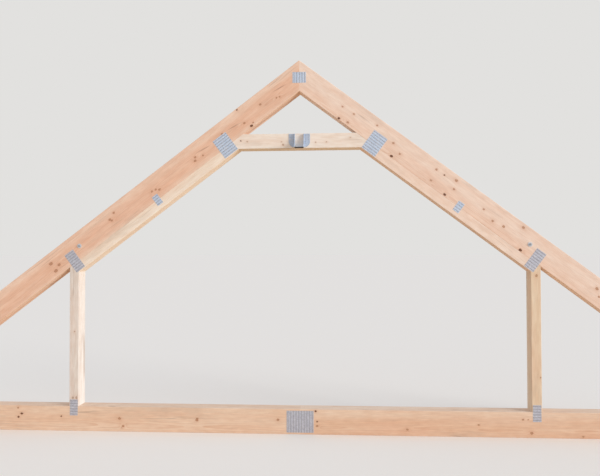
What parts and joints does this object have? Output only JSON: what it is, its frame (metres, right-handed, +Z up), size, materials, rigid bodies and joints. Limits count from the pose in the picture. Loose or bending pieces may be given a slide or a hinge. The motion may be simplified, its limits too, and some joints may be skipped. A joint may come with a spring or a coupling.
{
  "type": "wooden attic roof truss",
  "caption": "Plated timber attic truss of several plies: sloping top chords, knee walls and a collar tie frame a room; a steel hanger sits on the collar tie.",
  "frame": {"origin": "mid-span, on the level of the bottom chord's underside, in the middle of the overall depth with the hanger", "axes": "+X along the span to the right seen from the hanger's side, +Y through the thickness away from the hanger, +Z up to the apex"},
  "size_m": [8.5344, 0.2498, 3.5291],
  "materials": {
    "fir_top_chord": "planed, unfinished",
    "fir_bottom_chord": "planed, unfinished",
    "fir_collar_tie": "planed, unfinished",
    "fir_filler": "planed, unfinished",
    "fir_knee_post": "planed, unfinished",
    "fir_outer_strut": "planed, unfinished",
    "fir_wedge": "planed, unfinished",
    "galvanised_plate": "hot-dip galvanised",
    "galvanised_hanger": "hot-dip galvanised",
    "nail_steel": "galvanised"
  },
  "bodies": {
    "root": {"ply1_top_chord_left": "fir_top_chord", "ply1_top_chord_right": "fir_top_chord", "ply1_bottom_chord_left": "fir_bottom_chord", "ply1_bottom_chord_right": "fir_bottom_chord", "ply1_collar_tie": "fir_collar_tie", "ply1_rafter_filler_left": "fir_filler", "ply1_rafter_filler_right": "fir_filler", "ply1_knee_post_left": "fir_knee_post", "ply1_knee_post_right": "fir_knee_post", "ply1_outer_strut_left": "fir_outer_strut", "ply1_outer_strut_right": "fir_outer_strut", "ply2_top_chord_left": "fir_top_chord", "ply2_top_chord_right": "fir_top_chord", "ply2_bottom_chord_left": "fir_bottom_chord", "ply2_bottom_chord_right": "fir_bottom_chord", "ply2_collar_tie": "fir_collar_tie", "ply2_rafter_filler_left": "fir_filler", "ply2_rafter_filler_right": "fir_filler", "ply2_knee_post_left": "fir_knee_post", "ply2_knee_post_right": "fir_knee_post", "ply2_outer_strut_left": "fir_outer_strut", "ply2_outer_strut_right": "fir_outer_strut", "ply3_top_chord_left": "fir_top_chord", "ply3_top_chord_right": "fir_top_chord", "ply3_bottom_chord_left": "fir_bottom_chord", "ply3_bottom_chord_right": "fir_bottom_chord", "ply3_collar_tie": "fir_collar_tie", "ply3_rafter_filler_left": "fir_filler", "ply3_rafter_filler_right": "fir_filler", "ply3_knee_post_left": "fir_knee_post", "ply3_knee_post_right": "fir_knee_post", "ply3_outer_strut_left": "fir_outer_strut", "ply3_outer_strut_right": "fir_outer_strut", "ply4_top_chord_left": "fir_top_chord", "ply4_top_chord_right": "fir_top_chord", "ply4_bottom_chord_left": "fir_bottom_chord", "ply4_bottom_chord_right": "fir_bottom_chord", "ply4_collar_tie": "fir_collar_tie", "ply4_rafter_filler_left": "fir_filler", "ply4_rafter_filler_right": "fir_filler", "ply4_knee_post_left": "fir_knee_post", "ply4_knee_post_right": "fir_knee_post", "ply4_outer_strut_left": "fir_outer_strut", "ply4_outer_strut_right": "fir_outer_strut", "heel_wedges_left": "fir_wedge", "heel_wedges_right": "fir_wedge", "apex_plates": "galvanised_plate", "collar_plates": "galvanised_plate", "stitch_plates": "galvanised_plate", "post_top_plates": "galvanised_plate", "post_foot_plates": "galvanised_plate", "strut_top_plates": "galvanised_plate", "strut_foot_plates": "galvanised_plate", "heel_plates": "galvanised_plate", "splice_plates": "galvanised_plate", "collar_hanger": "galvanised_hanger", "hanger_nails": "nail_steel", "ply_screws": "nail_steel", "screw_washers": "nail_steel"}
  },
  "joints": []
}
